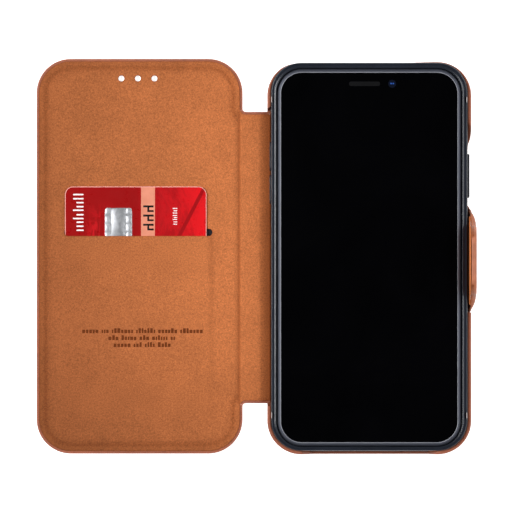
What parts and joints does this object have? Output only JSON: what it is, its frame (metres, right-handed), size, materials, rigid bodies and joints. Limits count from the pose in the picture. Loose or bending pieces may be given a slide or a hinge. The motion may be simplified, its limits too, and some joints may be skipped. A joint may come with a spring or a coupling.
{
  "type": "phone wallet case",
  "caption": "Book-style phone case with a snap-in back, a suede-lined front cover with a card pocket, and a magnetic clasp tab; shown open with a phone and a card in place.",
  "frame": {"origin": "centre of the back case's flat underside, where it rests on a table", "axes": "+X from the spine to the clasp tab, +Y to the top of the phone, +Z out of the phone's screen"},
  "size_m": [0.1674, 0.15, 0.0289],
  "materials": {
    "leather": "fine-grained smooth leather, satin, painted cut edges",
    "lining": "short-napped suede microfibre",
    "liner": "dark brushed microfibre",
    "shell": "hard moulded plastic, fine matt texture",
    "frame": "soft moulded elastomer, satin",
    "trim": "polished plastic ring",
    "board": "dense greyboard",
    "steel": "nickel plated",
    "card": "laminated printed plastic",
    "chip": "brushed contact plate",
    "phone_metal": "satin anodised",
    "phone_glass": "polished black-backed glass",
    "grille": "fine mesh",
    "lens": "coated lens glass",
    "flash": "ribbed diffuser"
  },
  "bodies": {
    "back_case": {"back_leather": "leather", "back_shell": "shell", "bumper_frame": "frame", "back_liner": "liner", "camera_window_trim": "trim"},
    "spine": {"spine_leather": "leather", "spine_stiffener": "board", "spine_lining": "lining"},
    "front_cover": {"cover_leather": "leather", "cover_board": "board", "cover_lining": "lining", "pocket_backing": "liner", "cover_steel_keeper": "steel", "cover_sleep_magnet": "steel"},
    "tab_side": {"tab_side_leather": "leather", "tab_side_lining": "lining"},
    "tab_flap": {"tab_flap_leather": "leather", "tab_flap_board": "board", "tab_flap_lining": "lining", "tab_magnets": "steel"},
    "power_button": {"power_button_cover": "frame"},
    "volume_up_button": {"volume_up_cover": "frame"},
    "volume_down_button": {"volume_down_cover": "frame"},
    "phone": {"phone_body": "phone_metal", "phone_front_glass": "phone_glass", "phone_back_glass": "phone_glass", "phone_earpiece_grille": "grille", "phone_front_camera": "lens", "phone_camera_block": "phone_metal", "phone_camera_lenses": "lens", "phone_flash": "flash", "phone_side_key": "phone_metal", "phone_volume_keys": "phone_metal"},
    "card": {"card": "card", "card_chip": "chip"}
  },
  "joints": [
    {"name": "spine_fold", "type": "hinge", "parent": "back_case", "child": "spine", "pos_m": [-0.0391, 0, 0.0008], "axis": [0, -1, 0], "range_deg": [-90, 0]},
    {"name": "cover_fold", "type": "hinge", "parent": "spine", "child": "front_cover", "pos_m": [-0.0505, 0, 0.0013], "axis": [0, -1, 0], "range_deg": [-90, 0]},
    {"name": "tab_fold", "type": "hinge", "parent": "back_case", "child": "tab_side", "pos_m": [0.0388, -0.00115, 0.00095], "axis": [0, 1, 0], "range_deg": [0, 85]},
    {"name": "flap_fold", "type": "hinge", "parent": "tab_side", "child": "tab_flap", "pos_m": [0.0389, -0.00115, 0.01475], "axis": [0, 1, 0], "range_deg": [-90, 0]},
    {"name": "power_press", "type": "slide", "parent": "back_case", "child": "power_button", "axis": [-1, 0, 0], "range_m": [0, 0.0004], "stiffness_N_per_m": 400, "springref_m": -0.0005},
    {"name": "volume_up_press", "type": "slide", "parent": "back_case", "child": "volume_up_button", "axis": [1, 0, 0], "range_m": [0, 0.0004], "stiffness_N_per_m": 400, "springref_m": -0.0005},
    {"name": "volume_down_press", "type": "slide", "parent": "back_case", "child": "volume_down_button", "axis": [1, 0, 0], "range_m": [0, 0.0004], "stiffness_N_per_m": 400, "springref_m": -0.0005},
    {"name": "phone_lift", "type": "slide", "parent": "back_case", "child": "phone", "axis": [0, 0, 1], "range_m": [0, 0.02]},
    {"name": "card_slide", "type": "slide", "parent": "front_cover", "child": "card", "axis": [0, 0.9999, 0.0122], "range_m": [0, 0.068]}
  ]
}
